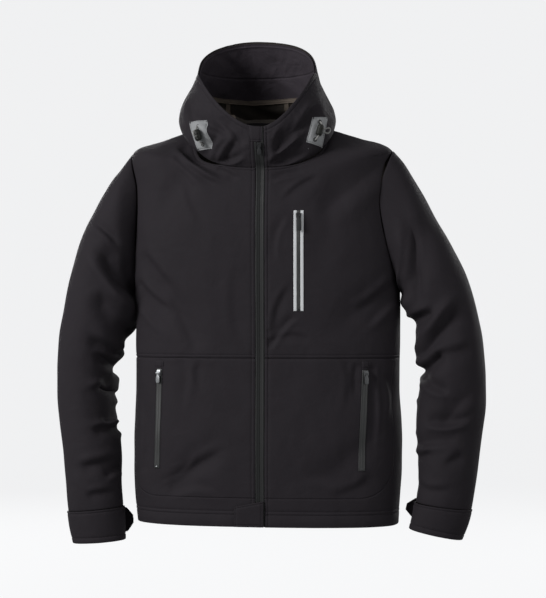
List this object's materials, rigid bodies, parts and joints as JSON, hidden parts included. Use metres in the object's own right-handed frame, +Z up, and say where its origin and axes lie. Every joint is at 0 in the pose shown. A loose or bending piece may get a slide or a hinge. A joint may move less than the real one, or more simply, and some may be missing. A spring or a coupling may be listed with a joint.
{
  "type": "softshell jacket",
  "caption": "hooded softshell jacket, filled out and hollow, with full front zip, chest and hand pocket zips, strap cuffs and corded hood adjusters",
  "frame": {"origin": "on the jacket's middle plane at the height where the shoulder seams reach the neck, where the wearer's shoulders hold it", "axes": "+Z up, the front and its zip face -Y, +X to the viewer's right"},
  "size_m": [0.7734, 0.3067, 0.919],
  "materials": {
    "shell_cloth": "matte black softshell, fine flat weave with a faint blue cast",
    "trim_tape": "brown-grey ribbed binding tape",
    "patch_cloth": "light grey smooth cloth",
    "coated_tape": "coated water-repellent zip tape, satin",
    "reflective": "light grey laminated edge strip",
    "dark_metal": "black lacquered zip slider",
    "bright_metal": "satin grey zip slider and pull",
    "pull_plastic": "moulded dark grey pull",
    "lock_plastic": "ribbed olive-black cord lock",
    "cord": "thin elastic cord, grey"
  },
  "bodies": {
    "jacket": {"front_upper_left": "shell_cloth", "front_upper_right": "shell_cloth", "front_lower_left": "shell_cloth", "front_lower_right": "shell_cloth", "back": "shell_cloth", "sleeve_left": "shell_cloth", "sleeve_right": "shell_cloth", "cuff_left": "shell_cloth", "cuff_right": "shell_cloth", "cuff_tab_left": "shell_cloth", "cuff_tab_right": "shell_cloth", "hood_side_left": "shell_cloth", "hood_side_right": "shell_cloth", "hood_centre": "shell_cloth", "hood_facing": "shell_cloth", "main_zip_garage": "shell_cloth", "hem_tab": "shell_cloth", "hand_zip_garage_left": "shell_cloth", "hand_zip_garage_right": "shell_cloth", "hood_facing_tape": "trim_tape", "hood_seam_tape_left": "trim_tape", "hood_seam_tape_right": "trim_tape", "adjuster_patch_left": "patch_cloth", "adjuster_patch_right": "patch_cloth", "main_zip_tape_left": "coated_tape", "main_zip_tape_right": "coated_tape", "chest_zip_tape": "coated_tape", "chest_zip_welt_left": "reflective", "chest_zip_welt_right": "reflective", "hand_zip_tape_left": "coated_tape", "hand_zip_tape_right": "coated_tape", "main_zip_slider": "dark_metal", "chest_zip_slider": "dark_metal", "hand_zip_slider_left": "bright_metal", "hand_zip_slider_right": "dark_metal", "eyelet_top_left": "dark_metal", "eyelet_foot_left": "dark_metal", "cord_lock_left": "lock_plastic", "hood_cord_left": "cord", "hood_cord_loop_left": "cord", "eyelet_top_right": "dark_metal", "eyelet_foot_right": "dark_metal", "cord_lock_right": "lock_plastic", "hood_cord_right": "cord", "hood_cord_loop_right": "cord"},
    "main_pull": {"main_zip_pull": "pull_plastic"},
    "chest_pull": {"chest_zip_pull": "pull_plastic"},
    "hand_pull_right": {"hand_zip_pull_right": "bright_metal"},
    "hand_pull_left": {"hand_zip_pull_left": "bright_metal"}
  },
  "joints": [
    {"name": "main_pull_swing", "type": "hinge", "parent": "jacket", "child": "main_pull", "pos_m": [0, -0.10703, -0.05595], "axis": [-1, 0, 0], "range_deg": [0, 150]},
    {"name": "chest_pull_swing", "type": "hinge", "parent": "jacket", "child": "chest_pull", "pos_m": [0.06847, -0.10087, -0.17754], "axis": [-0.9966, -0.0727, -0.0385], "range_deg": [0, 150]},
    {"name": "hand_pull_right_swing", "type": "hinge", "parent": "jacket", "child": "hand_pull_right", "pos_m": [0.18535, -0.07767, -0.45338], "axis": [-0.9228, -0.3852, 0.0026], "range_deg": [0, 150]},
    {"name": "hand_pull_left_swing", "type": "hinge", "parent": "jacket", "child": "hand_pull_left", "pos_m": [-0.18535, -0.07767, -0.45338], "axis": [-0.9228, 0.3852, -0.0026], "range_deg": [0, 150]}
  ]
}
